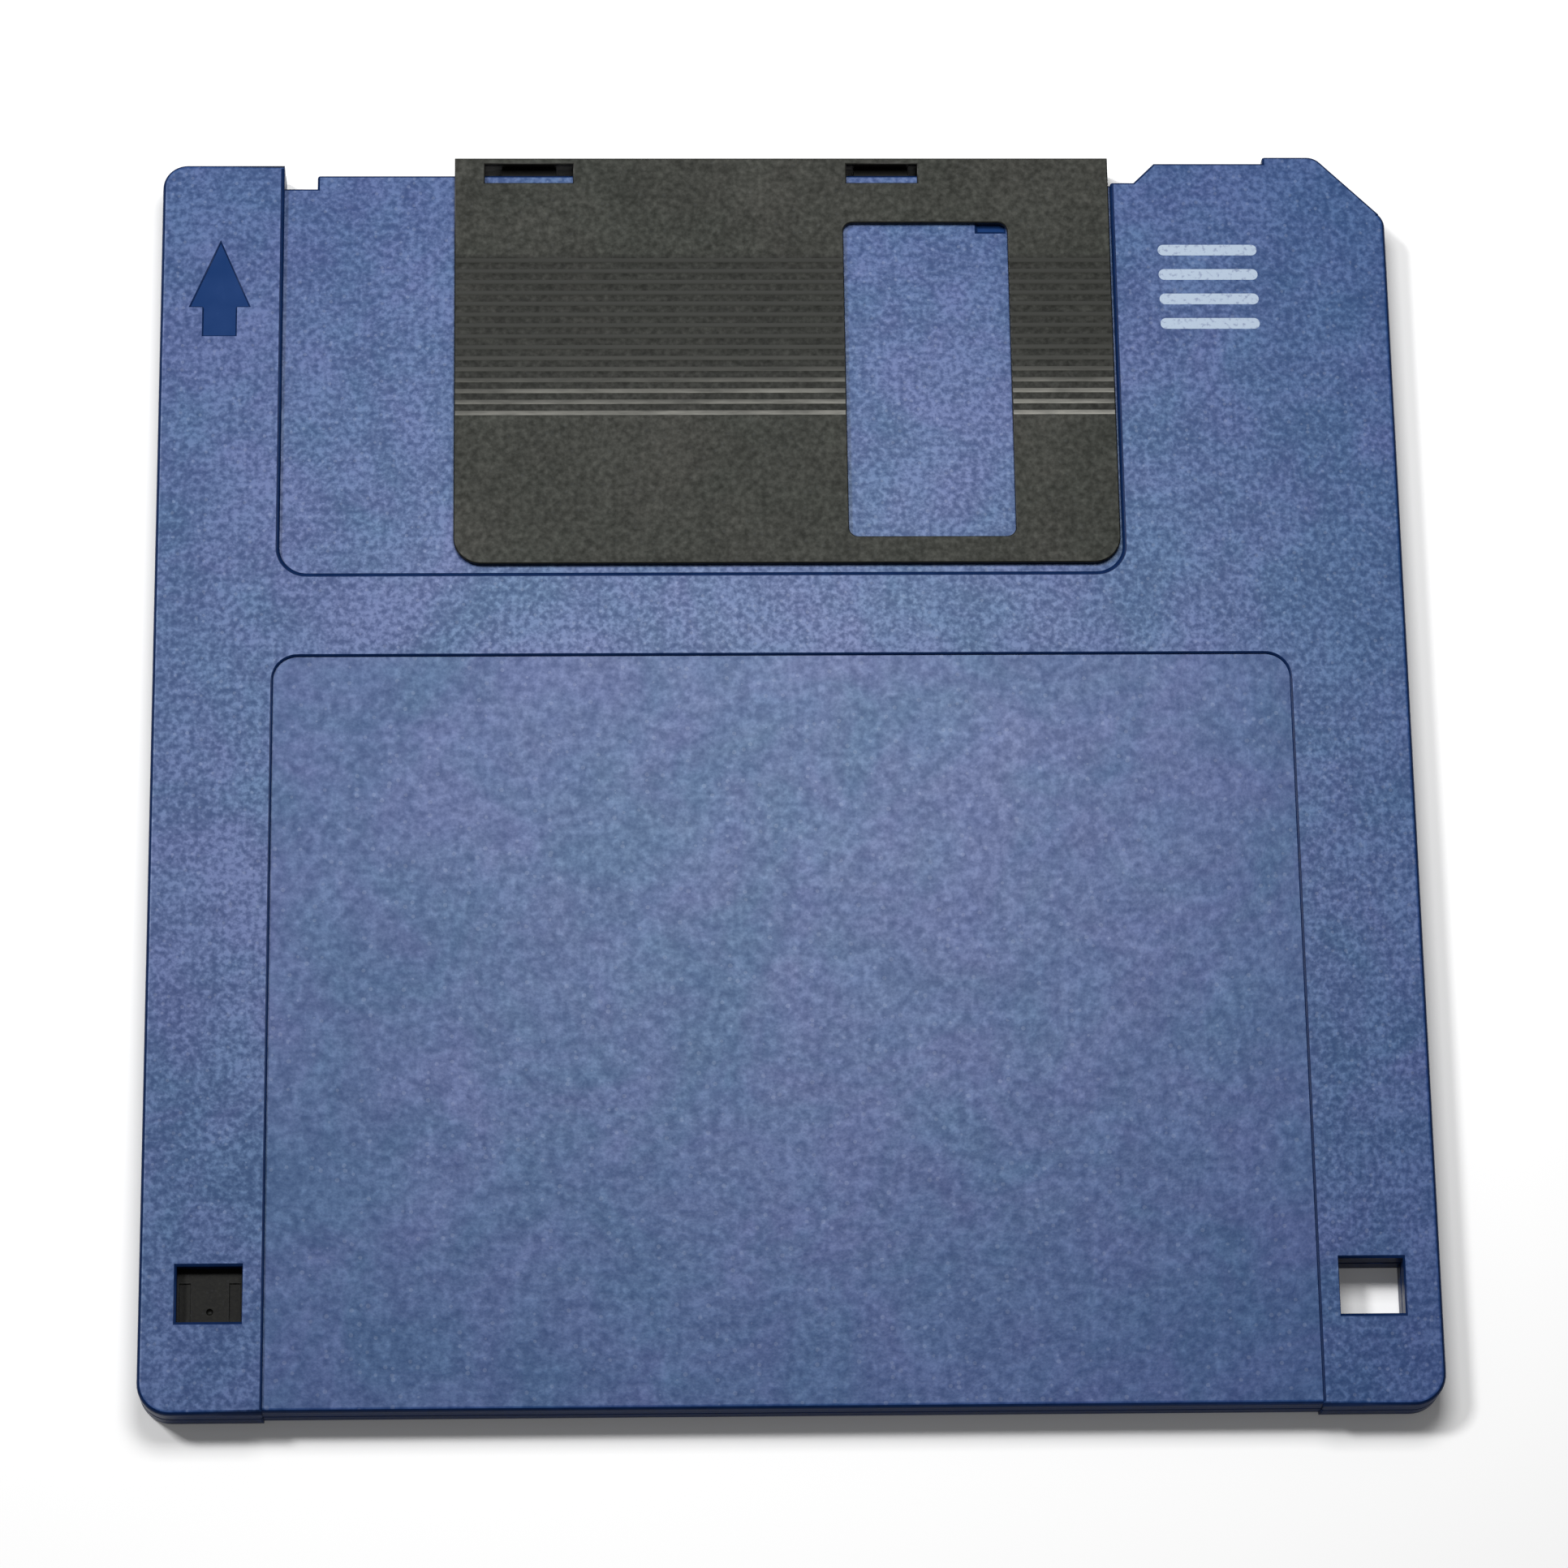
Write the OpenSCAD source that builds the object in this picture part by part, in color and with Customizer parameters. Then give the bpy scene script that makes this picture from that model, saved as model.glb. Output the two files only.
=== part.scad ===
// A 3.5-inch flexible disk cartridge with a sliding shutter, lying with its label side up.
// Frame: origin under the middle of the case, +X to the right, +Y toward the shutter, +Z up.

/* [Case] */
// Width of the case
case_w = 90; // [88:0.5:94]
// Length of the case, from shutter edge to label edge
case_l = 94; // [92:0.5:98]
// Thickness of the closed case
case_t = 3.3; // [3.2:0.1:4.2]
// Thickness of each flat wall
wall = 1; // [0.9:0.05:1.1]
// Thickness of the rim round the case
rim = 1.2; // [0.9:0.05:1.3]
// Radius of the two corners at the label edge
label_corner_r = 2.3; // [1:0.1:3]
// Radius of the corner beside the arrow
arrow_corner_r = 1.8; // [1:0.1:3]
// Leg of the corner that is cut at 45 degrees
corner_cut = 5; // [3:0.5:6]
// Radius that blends the corner cut into its neighbours
corner_cut_r = 1.4; // [0.8:0.1:2]
// Rounding of the outer edges
edge_r = 0.35; // [0.2:0.05:0.5]

/* [Shutter edge of the case] */
// How far the block beside the arrow stays below the shutter's spine
arrow_block_drop = 0.6; // [0.4:0.1:1]
// How far the case edge under the shutter stays below the spine
guide_edge_drop = 1.25; // [1.1:0.05:1.4]
// Width of the notch at the left end of the shutter's run
notch_w = 2.4; // [1.5:0.1:3]
// Depth of that notch below the spine
notch_drop = 2.3; // [1.6:0.1:2.8]
// Width of the cut where the drive's lever meets the shutter
lever_cut_w = 2.5; // [2:0.1:3]
// How far the lever cut reaches under the shutter
lever_under = 0.6; // [0.2:0.1:1]
// Depth of the lever cut below the spine
lever_cut_drop = 2.05; // [1.7:0.05:2.3]
// How far the edge right of the lever cut stays below the spine
right_edge_drop = 0.5; // [0.3:0.1:1]
// Width of the block at the cut corner
corner_block_w = 8.9; // [7.5:0.1:10]

/* [Shutter] */
// Width of the shutter
shutter_w = 48.2; // [46:0.2:49]
// Length of its leaves, spine included
shutter_l = 32; // [31:0.25:32.25]
// Thickness of a leaf
leaf_t = 0.42; // [0.3:0.02:0.44]
// Thickness of the spine
spine_t = 0.45; // [0.35:0.05:0.6]
// Radius of the free corners
shutter_corner_r = 2; // [1:0.25:3]
// Rounding of the spine's outer edges
spine_r = 0.3; // [0.1:0.05:0.35]
// Width of the shutter's window
window_w = 12.1; // [10:0.1:13]
// Length of the shutter's window
window_l = 24.7; // [24:0.1:25.2]
// Radius of its corners
window_r = 0.7; // [0.3:0.1:1.5]
// Land between the window and the right edge
window_side_land = 7.55; // [6:0.05:9]
// Land between the window and the spine's outer face
window_top_land = 5.26; // [5:0.02:5.5]
// Slide that brings the window over the head opening
open_slide = 11; // [10:0.1:12]
// Farthest slide before the recess ends
shutter_run = 12; // [11.5:0.1:12.3]
// Gap between the closed shutter and the end of its recess
end_gap = 0.15; // [0.1:0.05:0.3]
// Free space left past the farthest slide
run_spare = 0.5; // [0.3:0.05:0.8]
// Running gap between leaf and recess floor
slide_gap = 0.05; // [0.03:0.01:0.1]
// Depth of the recess that the leaf slides in
recess_d = 0.5; // [0.4:0.01:0.55]
// Strip of recess below the shutter
recess_land = 0.6; // [0.3:0.05:0.8]

/* [Shutter slots, hooks and grip lines] */
// Width of the left slot
left_slot_w = 6.5; // [5:0.1:7]
// Width of the right slot
right_slot_w = 5.25; // [4:0.05:6]
// Length of the slots along Y
slot_l = 1.5; // [1:0.1:1.8]
// Land between slots and the spine's outer face
slot_land = 0.55; // [0.5:0.05:0.8]
// Left slot from the shutter's left edge
left_slot_x = 2.2; // [2:0.1:2.8]
// Right slot from the shutter's left edge
right_slot_x = 28.85; // [27:0.05:30]
// Width of each hook under a slot
hook_w = 4; // [3:0.1:4.4]
// Thickness of the hook's neck
neck_t = 0.7; // [0.4:0.05:0.75]
// Length of the hook's head along Y
head_l = 0.7; // [0.5:0.05:0.8]
// Gap between the head and the rim that holds it
head_gap = 0.2; // [0.1:0.05:0.25]
// Gap between the head and the flat walls
head_side_gap = 0.15; // [0.1:0.05:0.25]
// Number of grip lines
grip_count = 15; // [8:1:16]
// Pitch of the grip lines
grip_pitch = 0.86; // [0.6:0.02:0.9]
// First grip line from the spine's outer face
grip_start = 8.3; // [7:0.1:10]
// Width of a grip line
grip_w = 0.34; // [0.2:0.02:0.5]
// Depth of a grip line
grip_d = 0.14; // [0.06:0.02:0.2]

/* [Label recess, arrow and print] */
// Width of the label recess
label_w = 72.8; // [68:0.2:73]
// Length of the label recess on the label side
label_l = 54.95; // [50:0.05:57]
// Length of the part that wraps to the hub side
label_back_l = 13; // [10:0.5:14]
// Depth of the label recess
label_d = 0.2; // [0.1:0.05:0.3]
// Radius of the recess corners
label_r = 1.75; // [1:0.25:3]
// Arrow's middle from the left side
arrow_x = 4.32; // [4:0.02:4.6]
// Arrow's tip from the shutter edge
arrow_y = 6.9; // [5:0.1:10]
// Width of the arrow head
arrow_w = 4.24; // [3:0.02:4.4]
// Length of the arrow head
arrow_head_l = 5; // [4:0.1:6]
// Width of the arrow stem
stem_w = 2.35; // [1.5:0.05:3]
// Length of the arrow stem
stem_l = 2.3; // [1.5:0.1:4]
// Depth of the sunken arrow
arrow_d = 0.12; // [0.06:0.02:0.2]

/* [Openings and locating holes] */
// Hub centre from the shutter edge
hub_from_edge = 46.5; // [46.4:0.05:46.8]
// Diameter of the hub opening
hub_hole_d = 26.5; // [26:0.1:26.8]
// Lead-in at the mouth of the hub opening
lead_in = 0.35; // [0.1:0.05:0.4]
// Width of the head opening
head_w = 9; // [8:0.1:10]
// Length of the head opening
head_open_l = 23.6; // [22:0.1:24]
// Head opening from the shutter edge
head_from_edge = 5.8; // [5.6:0.05:6]
// Middle of the locating holes from the side
locate_x = 5; // [4.8:0.1:5.2]
// Middle of the locating holes from the label edge
locate_y = 16.5; // [16:0.1:17]
// Diameter of the locating holes
locate_d = 3.6; // [3.2:0.1:4]
// Extra width of the second hole, which is oblong
oblong = 0.8; // [0.4:0.1:1]
// Depth of the locating holes
locate_depth = 2; // [1.5:0.1:2.1]
// Middle of the two square holes from the side
side_hole_x = 4.85; // [4.7:0.05:5]
// Width of the two square holes
side_hole_w = 4.5; // [4:0.1:4.6]
// Length of the two square holes
side_hole_l = 3.9; // [3.4:0.1:4]
// Middle of the two square holes from the label edge
side_hole_y = 8.45; // [8.2:0.05:8.7]

/* [Write-protect slider] */
// Width of the slider's base
base_w = 5.2; // [4.9:0.1:5.4]
// Length of the slider's base
base_l = 4.8; // [4.5:0.1:4.9]
// Travel of the slider
slider_run = 4.3; // [4.2:0.05:4.35]
// Running gap round the slider
slider_gap = 0.15; // [0.1:0.05:0.2]
// Length of the knob in the slot
knob_l = 3.4; // [2.5:0.1:3.6]
// Depth of the grip notch in the knob
knob_notch = 0.4; // [0.2:0.1:0.6]
// Knob's face above the hub side of the case
knob_inset = 0.15; // [0.1:0.05:0.3]
// How far the base reaches past the hole that it covers
base_cover = 0.45; // [0.4:0.05:0.5]
// Width of the raised pad on the face seen through the hole
pad_w = 2.7; // [2:0.1:3]
// Depth of the grooves beside the pad
pad_d = 0.15; // [0.05:0.05:0.3]

/* [Disk, hub and liners] */
// Gap between the disk and the rims beside it
disk_side_gap = 0.9; // [0.85:0.05:1.2]
// Gap between the disk and the hooks of the shutter
disk_hook_gap = 0.25; // [0.2:0.05:0.4]
// Thickness of the disk
disk_t = 0.08; // [0.06:0.01:0.12]
// Diameter of the hub's drum
hub_d = 25; // [24.5:0.1:25.4]
// Diameter of the hub's flange
flange_d = 29.5; // [29:0.1:30]
// Sheet thickness of the hub
hub_t = 0.3; // [0.2:0.02:0.34]
// Hub face above the hub side of the case
hub_inset = 0.25; // [0.1:0.05:0.4]
// Side of the square hole in the hub
hub_square = 4; // [3.8:0.1:4.2]
// Drive slot: middle from the hub centre
drive_slot_x = 9; // [8.6:0.1:9.2]
// Drive slot: width toward the hub centre
drive_slot_w = 4.3; // [4:0.1:4.6]
// Drive slot: length
drive_slot_l = 8; // [7:0.1:8.4]
// Thickness of the adhesive ring
ring_t = 0.06; // [0.04:0.01:0.1]
// Gap between the disk and the raised seat below it
seat_gap = 0.15; // [0.1:0.05:0.3]
// Thickness of a liner
liner_t = 0.22; // [0.15:0.01:0.28]
// How far a liner stays inside the edge of the disk
liner_margin = 0.5; // [0.3:0.1:0.9]
// Inner diameter of a liner
liner_hole_d = 31; // [30.6:0.1:33]
// Thickness of the liner lifter
lifter_t = 0.15; // [0.1:0.01:0.2]
// Length of the liner lifter
lifter_l = 18; // [12:0.5:20]
// Width of the liner lifter
lifter_w = 9; // [6:0.5:12]
// Diameter of the wear disc over the hub
wear_d = 11; // [8:0.5:14]
// Thickness of the wear disc
wear_t = 0.15; // [0.1:0.01:0.2]

/* [Spring and weld pins] */
// Wire diameter of the spring
wire_d = 0.35; // [0.3:0.01:0.38]
// Mean radius of the spring's coil
coil_r = 2.8; // [2.4:0.1:2.9]
// Whole turns of the coil
coil_turns = 3; // [2:1:3]
// Thickness of the wall over the spring's pocket
pocket_wall = 0.75; // [0.65:0.05:0.8]
// Diameter of the weld pins
pin_d = 2; // [1.6:0.1:2.4]
// Gap round a weld pin
pin_gap = 0.05; // [0.03:0.01:0.08]
// Wall round holes, pins and pockets inside the case
boss_wall = 0.7; // [0.6:0.05:0.8]
// Thickness of the ribs round the disk
rib_t = 0.9; // [0.7:0.1:1]
// Gap between the disk and the ribs
disk_gap = 0.8; // [0.6:0.1:0.9]

/* [Hidden] */
$fn = 96;

// Colours of the pieces
blue = "#5b70a8";
charcoal = "#3f3f3a";
black_plastic = "#17171a";
steel = "#b9bcc0";
oxide = "#2c2624";
fleece = "#e8e6e0";
film = "#d9cfa8";
white_plastic = "#f0efe9";

// Overshoot of a cut, and depth by which a rib or boss is sunk into the wall that carries it
over = 1;
sink = 0.1;

// Sides, shutter edge and parting plane of the case
side = case_w / 2;
top = case_l / 2;
parting = case_t / 2;
hub_y = top - hub_from_edge;

// Shutter at rest, and the recess it slides in
window_x = open_slide;
shutter_right = window_x + window_w / 2 + window_side_land;
shutter_left = shutter_right - shutter_w;
recess_left = shutter_left - shutter_run - run_spare;
recess_right = shutter_right + end_gap;
recess_y = top - shutter_l - recess_land;
guide_y = top - guide_edge_drop;
notch_right = recess_left + notch_w;

// Lever cut and its slope
lever_left = shutter_right - lever_under;
lever_right = lever_left + lever_cut_w;
lever_y = top - lever_cut_drop;
right_y = top - right_edge_drop;
slope_x = lever_right + right_y - lever_y;
block_x = side - corner_block_w;

// Outline of the case as [x, y, corner radius], from the arrow block round the label edge.
// The first edge_count edges are the ones that are rounded.
outline = [
    [recess_left, top - arrow_block_drop, 0],
    [-side, top - arrow_block_drop, arrow_corner_r],
    [-side, -top, label_corner_r],
    [side, -top, label_corner_r],
    [side, top - corner_cut, corner_cut_r],
    [side - corner_cut, top, corner_cut_r],
    [block_x, top, 0],
    [block_x, right_y, 0],
    [slope_x, right_y, 0],
    [lever_right, lever_y, 0],
    [lever_left, lever_y, 0],
    [lever_left, guide_y, 0],
    [notch_right, guide_y, 0],
    [notch_right, top - notch_drop, 0],
    [recess_left, top - notch_drop, 0],
];
edge_count = 6;

// Inside faces of the rim. The cut corner and the slope keep their thickness at 45 degrees.
rim_guide_y = guide_y - rim;
rim_lever_y = lever_y - rim;
rim_right_y = right_y - rim;
rim_notch_y = top - notch_drop - rim;
rim_skew = rim * tan(22.5);
cavity = [
    [-side + rim, -top + rim],
    [side - rim, -top + rim],
    [side - rim, top - corner_cut - rim_skew],
    [side + top - corner_cut - rim * sqrt(2) - rim_right_y, rim_right_y],
    [slope_x + rim_skew, rim_right_y],
    [lever_right + rim_skew, rim_lever_y],
    [lever_left - rim, rim_lever_y],
    [lever_left - rim, rim_guide_y],
    [notch_right + rim, rim_guide_y],
    [notch_right + rim, rim_notch_y],
    [recess_left - rim, rim_notch_y],
    [recess_left - rim, top - arrow_block_drop - rim],
    [-side + rim, top - arrow_block_drop - rim],
];

// Hooks of the shutter: their left ends, the neck's slot in the rim and the head behind it
left_slot = shutter_left + left_slot_x;
right_slot = shutter_left + right_slot_x;
left_hook = left_slot + left_slot_w / 2 - hook_w / 2;
right_hook = right_slot + right_slot_w / 2 - hook_w / 2;
head_y = rim_guide_y - head_gap - head_l;
head_z = wall + head_side_gap;
neck_slot_z = parting - neck_t / 2 - slide_gap;
guide_left = notch_right + rim;
guide_right = right_hook + hook_w + run_spare;

// Square holes near the label edge, and the slider's pocket round the left one
hole_x = side - side_hole_x;
hole_y = -top + side_hole_y;
hole_low = hole_y - side_hole_l / 2;
hole_high = hole_y + side_hole_l / 2;
base_high = hole_high + base_cover;
base_low = base_high - base_l;
pocket_low = base_low - slider_run - slider_gap;
knob_w = side_hole_w - 2 * slider_gap;
knob_high = hole_high - slider_gap;
knob_low = knob_high - knob_l;
knob_edge = 0.15;

// Small pocket in the recess, at the corner of the shutter's window
small_pocket_w = 2.05;
small_pocket_d = 0.3;
small_pocket_x = window_x + window_w / 2 - 2.2;

// Disk and liners: they fill the case as far as the rims and the hooks allow
rim_room = min(side, case_l - hub_from_edge) - rim;
disk_d = 2 * min(rim_room - disk_side_gap, head_y - hub_y - disk_hook_gap);
liner_d = disk_d - 2 * liner_margin;

// Heights of the disk pack
disk_z = parting - disk_t / 2;
ring_z = disk_z + disk_t;
flange_z = ring_z + ring_t;
seat_z = disk_z - seat_gap;
wall_top = case_t - wall;
locate_hole_x = side - locate_x;
locate_hole_y = -top + locate_y;
boss_h = wall_top - wall + sink - slide_gap;
rib_r = disk_d / 2 + disk_gap;

// Ribs round the disk, from one angle to another
rib_spans = [[14, 68], [106, 158], [202, 236], [304, 338]];

// Spring: the coil's middle, its heights and the legs, one along the side rim and one to the shutter
coil_side_gap = 0.9;
coil_top_gap = 0.5;
coil_turn_gap = 0.02;
fixed_leg_l = 10;
fixed_leg_gap = 0.3;
fixed_leg_lean = 0.4;
leg_bend = 1.2;
leg_step = 0.3;
leg_hold = 0.5;
pocket_spare = 0.5;
coil_x = -side + rim + coil_side_gap + coil_r;
coil_y = rim_notch_y - coil_top_gap - coil_r;
coil_low = pocket_wall + slide_gap + wire_d / 2;
coil_pitch = wire_d + coil_turn_gap;
coil_sweep = 360 * coil_turns + 90;
coil_high = coil_low + coil_pitch * coil_sweep / 360;
coil_steps = 20 * coil_turns + 5;
leg_y = head_y + head_l / 2;
leg_end = left_hook + leg_hold;
wire_sides = 8;
spring_path = concat(
    [
        [-side + rim + fixed_leg_gap, coil_y - fixed_leg_l, coil_low],
        [-side + rim + fixed_leg_gap + fixed_leg_lean / 2, coil_y - fixed_leg_l / 2, coil_low],
    ],
    [
        for (i = [0:coil_steps])
            let (share = i / coil_steps)
            let (a = 180 - coil_sweep * share)
            [coil_x + coil_r * cos(a), coil_y + coil_r * sin(a), coil_low + (coil_high - coil_low) * share]
    ],
    [
        [coil_x + leg_bend, coil_y + coil_r, coil_high - leg_step / 3],
        [recess_left - 3 * leg_step, coil_y + coil_r, parting + wire_d / 3],
        [recess_left - leg_step, coil_y + coil_r, parting],
        [notch_right + rim, coil_y + coil_r, parting],
        [left_hook - 3.2 * leg_hold, leg_y - coil_turn_gap, parting],
        [left_hook - 2 * leg_hold, leg_y, parting],
        [leg_end, leg_y, parting],
    ]
);
pocket_low_y = coil_y - fixed_leg_l - 2 * pocket_spare;
pocket_high_y = coil_y + coil_r + 0.8 * pocket_spare;
pocket_right = recess_left - pocket_spare;

// Weld pins: two beside the disk, two at the label edge and one beside the cut corner
pin_side = 4;
pin_up = 23.5;
pin_in = 11.5;
pin_from_label_edge = 4.5;
pin_from_top = 5.5;
pin_places = [
    [-side + pin_side, hub_y + pin_up],
    [side - pin_side, hub_y + pin_up],
    [-side + pin_in, -top + pin_from_label_edge],
    [side - pin_in, -top + pin_from_label_edge],
    [side - pin_in, top - pin_from_top],
];

function unit(v) = v / norm(v);
function wrap(list, i) = list[(i + len(list)) % len(list)];
function flat(p) = [p[0], p[1]];

// Turn of an outline at a corner: positive where the corner is convex
function turn(a, b, c) = cross(b - a, c - b);

// Length that an arc of radius r takes off each edge at corner b
function arc_leg(a, b, c, r) = r == 0 ? 0 : r / tan(acos(unit(a - b) * unit(c - b)) / 2);

// A box given by its lowest and highest corners
module block(low, high) {
    translate(low)
        cube(high - low);
}

// A rectangle with four round corners
module round_rect(low, high, r) {
    translate([low[0] + r, low[1]])
        square([high[0] - low[0] - 2 * r, high[1] - low[1]]);
    translate([low[0], low[1] + r])
        square([high[0] - low[0], high[1] - low[1] - 2 * r]);
    for (x = [low[0] + r, high[0] - r], y = [low[1] + r, high[1] - r])
        translate([x, y])
            circle(r = r);
}

// The tip of a sharp corner that its arc leaves out
module corner_tip(a, b, c, r) {
    leg = arc_leg(a, b, c, r);
    out = unit(a - b) + unit(c - b);
    center = b + unit(out) * norm([r, leg]);
    difference() {
        polygon([b - unit(out) * over, b + unit(a - b) * leg, center, b + unit(c - b) * leg]);
        translate(center)
            circle(r = r);
    }
}

// Outline of the case with its round corners
module case_outline() {
    difference() {
        polygon([for (p = outline) flat(p)]);
        for (i = [0:len(outline) - 1]) {
            before = wrap(outline, i - 1);
            after = wrap(outline, i + 1);
            if (outline[i][2] > 0)
                corner_tip(flat(before), flat(outline[i]), flat(after), outline[i][2]);
        }
    }
}

// Section of the cutter that rounds an outer edge: the edge is at x = 0, y = 0
module edge_section() {
    difference() {
        translate([-edge_r, -edge_r])
            square(edge_r + over);
        translate([-edge_r, -edge_r])
            circle(r = edge_r);
    }
}

// Cutter that rounds the outer edges at z = 0, with the case above it
module edge_cutter() {
    for (i = [0:edge_count - 1]) {
        a = flat(wrap(outline, i - 1));
        b = flat(outline[i]);
        c = flat(outline[i + 1]);
        d = flat(wrap(outline, i + 2));
        start = arc_leg(a, b, c, outline[i][2]);
        stop = norm(c - b) - arc_leg(b, c, d, outline[i + 1][2]);
        ahead = unit(c - b);
        angle = atan2(ahead[1], ahead[0]);
        translate([b[0], b[1], 0])
            rotate([0, 0, angle])
                translate([start, 0, 0])
                    rotate([90, 0, 90])
                        linear_extrude(stop - start)
                            mirror([0, 1])
                                mirror([1, 0])
                                    edge_section();
        if (outline[i + 1][2] > 0) {
            r = outline[i + 1][2];
            next = unit(d - c);
            center = c + unit(unit(b - c) + next) * norm([r, arc_leg(b, c, d, r)]);
            sweep = acos(ahead * next);
            translate([center[0], center[1], 0])
                rotate([0, 0, angle - 90])
                    rotate_extrude(angle = sweep)
                        translate([r, 0])
                            mirror([0, 1])
                                edge_section();
        }
    }
}

// A rib that follows the disk between two angles
module disk_rib(from, to) {
    translate([0, hub_y, wall - sink])
        rotate([0, 0, from])
            rotate_extrude(angle = to - from)
                translate([rib_r, 0])
                    square([rib_t, parting - wall + sink]);
}

// What both halves of the case share, as the half that lies on z = 0.
// recess_l is the length of its label recess.
module half_case(recess_l) {
    difference() {
        union() {
            difference() {
                linear_extrude(parting)
                    case_outline();
                translate([0, 0, wall])
                    linear_extrude(parting)
                        polygon(cavity);
            }
            for (span = rib_spans)
                disk_rib(span[0], span[1]);
            // Block round the slider's pocket
            block([-side + rim - sink, pocket_low - boss_wall, wall - sink],
                [-hole_x + base_w / 2 + slider_gap + boss_wall, base_high + slider_gap + boss_wall, parting]);
            // Block round the capacity hole
            block([hole_x - side_hole_w / 2 - boss_wall, hole_low - boss_wall, wall - sink],
                [side - rim + sink, hole_high + boss_wall, parting]);
        }
        edge_cutter();
        // Label recess, its wrap round the label edge and the rounding of that edge
        translate([0, 0, -over])
            linear_extrude(over + label_d)
                round_rect([-label_w / 2, -top - over - label_r], [label_w / 2, -top + recess_l], label_r);
        block([-label_w / 2, -top - over, -over], [label_w / 2, -top + 0.75 * label_d, case_t]);
        translate([-label_w / 2, -top + 0.75 * label_d, label_d])
            rotate([90, 0, 90])
                linear_extrude(label_w)
                    mirror([0, 1])
                        mirror([1, 0])
                            edge_section();
        // Recess of the shutter
        translate([0, 0, -over])
            linear_extrude(over + recess_d)
                round_rect([recess_left, recess_y],
                    [recess_right, top + over + shutter_corner_r], shutter_corner_r);
        // Head opening
        translate([-head_w / 2, top - head_from_edge - head_open_l, -over])
            cube([head_w, head_open_l, over + parting]);
        // Slot in the rim for the necks of the hooks
        block([guide_left, rim_guide_y - sink, neck_slot_z], [guide_right, guide_y + over, case_t]);
        // Pocket of the spring
        block([-side + rim, pocket_low_y, pocket_wall], [pocket_right, pocket_high_y, case_t]);
        // Pocket of the slider
        block([-hole_x - base_w / 2 - slider_gap, pocket_low, wall],
            [-hole_x + base_w / 2 + slider_gap, base_high + slider_gap, case_t]);
        // Capacity hole
        block([hole_x - side_hole_w / 2, hole_low, -over], [hole_x + side_hole_w / 2, hole_high, case_t]);
    }
}

// Label side of the case
module front_shell() {
    color(blue)
        difference() {
            union() {
                translate([0, 0, case_t])
                    mirror([0, 0, 1])
                        half_case(label_l);
                // Bosses and weld pins
                for (p = pin_places)
                    translate([p[0], p[1], 0]) {
                        translate([0, 0, parting])
                            cylinder(d = pin_d + 2 * boss_wall, h = wall_top - parting + sink);
                        translate([0, 0, wall + 0.1])
                            cylinder(d = pin_d, h = parting - wall);
                    }
            }
            // Hole over the slider
            block([-hole_x - side_hole_w / 2, hole_low, parting],
                [-hole_x + side_hole_w / 2, hole_high, case_t + over]);
            // Sunken arrow
            translate([-side + arrow_x, top - arrow_y, case_t - arrow_d])
                linear_extrude(over)
                    polygon([
                        [0, 0],
                        [-arrow_w / 2, -arrow_head_l],
                        [-stem_w / 2, -arrow_head_l],
                        [-stem_w / 2, -arrow_head_l - stem_l],
                        [stem_w / 2, -arrow_head_l - stem_l],
                        [stem_w / 2, -arrow_head_l],
                        [arrow_w / 2, -arrow_head_l],
                    ]);
            // Small pocket that shows at the corner of the shutter's window
            block([small_pocket_x, top - window_top_land - 0.5, case_t - recess_d - small_pocket_d],
                [small_pocket_x + small_pocket_w, top - window_top_land - 0.5 + small_pocket_w, case_t]);
        }
}

// Hub side of the case
module back_shell() {
    color(blue)
        difference() {
            union() {
                half_case(label_back_l);
                // Raised seat round the hub opening
                translate([0, hub_y, wall - sink])
                    cylinder(d = flange_d - 0.3, h = seat_z - wall + sink);
                // Bosses for the weld pins
                for (p = pin_places)
                    translate([p[0], p[1], wall - sink])
                        cylinder(d = pin_d + 2 * boss_wall, h = parting - wall + sink);
                // Bosses of the locating holes
                for (x = [-locate_hole_x, locate_hole_x])
                    translate([x, locate_hole_y, wall - sink])
                        cylinder(d = locate_d + oblong + 2 * boss_wall, h = boss_h);
            }
            // Hub opening with its lead-in
            translate([0, hub_y, -over])
                cylinder(d = hub_hole_d, h = case_t);
            translate([0, hub_y, 0])
                cylinder(d1 = hub_hole_d + 2 * lead_in, d2 = hub_hole_d, h = lead_in);
            // Round locating hole and oblong locating hole
            translate([locate_hole_x, locate_hole_y, -over])
                cylinder(d = locate_d, h = over + locate_depth);
            for (shift = [-oblong / 2, oblong / 2])
                translate([-locate_hole_x + shift, locate_hole_y, -over])
                    cylinder(d = locate_d, h = over + locate_depth);
            block([-locate_hole_x - oblong / 2, locate_hole_y - locate_d / 2, -over],
                [-locate_hole_x + oblong / 2, locate_hole_y + locate_d / 2, locate_depth]);
            // Blind holes for the weld pins
            for (p = pin_places)
                translate([p[0], p[1], wall])
                    cylinder(d = pin_d + 2 * pin_gap, h = parting);
            // Slot of the slider's knob
            block([-hole_x - side_hole_w / 2, knob_low - slider_run - slider_gap, -over],
                [-hole_x + side_hole_w / 2, hole_high, wall + sink]);
            // Pocket of the liner lifter
            lifter_place(wall - lifter_t, over + lifter_t, 0.1);
        }
}

// Outline of the liner lifter, raised to a height and grown by a gap
module lifter_place(z, h, gap) {
    translate([-disk_d / 4 - liner_hole_d / 4, hub_y, z])
        translate([-lifter_l / 2 - gap, -lifter_w / 2 - gap, 0])
            cube([lifter_l + 2 * gap, lifter_w + 2 * gap, h]);
}

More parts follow.
